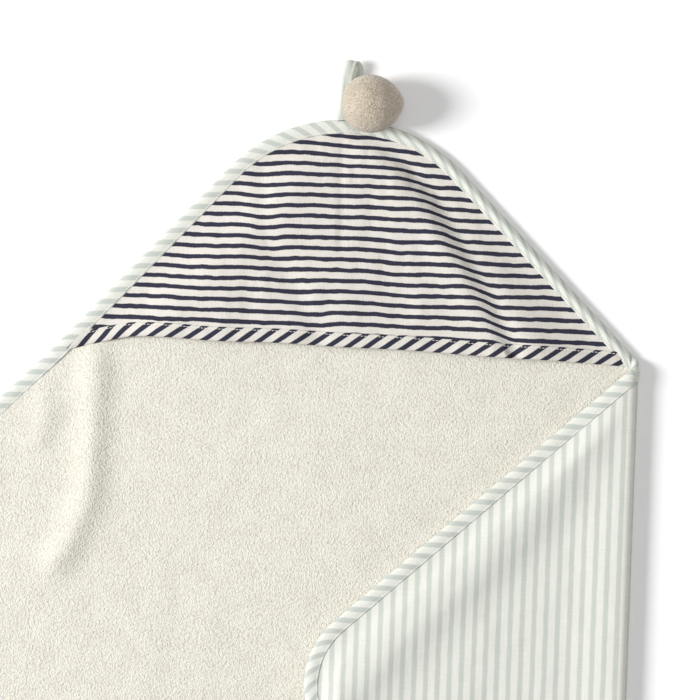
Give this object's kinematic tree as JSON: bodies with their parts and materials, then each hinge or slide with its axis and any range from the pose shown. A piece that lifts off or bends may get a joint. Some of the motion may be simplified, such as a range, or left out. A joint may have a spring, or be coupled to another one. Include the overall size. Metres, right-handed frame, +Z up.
{
  "type": "hooded baby towel",
  "caption": "Square hooded baby towel laid flat: terry face, striped woven backing, bias-bound edges, gauze hood with a stuffed bobble and a hanging loop, one side corner turned over.",
  "frame": {"origin": "centre of the square cloth on its underside, where the towel lies on a surface", "axes": "+Z up off the surface, +Y along the cloth's diagonal to the tip of the hood, +X to the side whose corner is turned over"},
  "size_m": [0.7535, 1.0396, 0.048],
  "materials": {
    "terry": "looped cotton terry, cream, matt",
    "striped_backing": "plain-woven cotton, pale sage stripes on off-white, matt",
    "edge_bias": "plain-woven cotton cut on the bias, pale sage stripes, matt",
    "hood_gauze": "cotton gauze, cream with uneven navy stripes, matt",
    "front_bias": "cotton gauze cut on the bias, navy and cream stripes, matt",
    "pale_thread": "cotton sewing thread, off-white",
    "dark_thread": "cotton sewing thread, dark grey",
    "bobble_plush": "short plush, beige cream, matt",
    "stuffing": "loose white fibre stuffing"
  },
  "bodies": {
    "towel": {"terry_body": "terry", "backing_body": "striped_backing", "edge_binding_body": "edge_bias", "edge_seam_thread_body": "pale_thread"},
    "hood": {"terry_hood_corner": "terry", "backing_hood_corner": "striped_backing", "edge_binding_hood": "edge_bias", "edge_seam_thread_hood": "pale_thread", "hood_panel": "hood_gauze", "hood_front_binding": "front_bias", "hood_front_seam_thread": "pale_thread", "loop_bar_tack": "dark_thread"},
    "turned_corner": {"terry_turned_corner": "terry", "backing_turned_corner": "striped_backing", "edge_binding_turned_corner": "edge_bias", "edge_seam_thread_turned_corner": "pale_thread"},
    "loop": {"hanging_loop": "edge_bias"},
    "bobble": {"bobble_cover": "bobble_plush", "bobble_filling": "stuffing", "bobble_sewing_thread": "dark_thread"}
  },
  "joints": [
    {"name": "hood_lift", "type": "hinge", "parent": "towel", "child": "hood", "pos_m": [0, 0.28431, 0.0081], "axis": [1, 0, 0], "range_deg": [0, 90]},
    {"name": "corner_unfold", "type": "hinge", "parent": "towel", "child": "turned_corner", "pos_m": [0.2515, 0, 0.0054], "axis": [0, 1, 0], "range_deg": [0, 179.5]},
    {"name": "loop_swing", "type": "hinge", "parent": "hood", "child": "loop", "pos_m": [-0.00775, 0.48935, 0.00315], "axis": [1, 0, 0], "range_deg": [0, 80]},
    {"name": "bobble_tip", "type": "hinge", "parent": "hood", "child": "bobble", "pos_m": [0.0175, 0.48661, 0.0063], "axis": [1, 0, 0], "range_deg": [0, 40]}
  ]
}
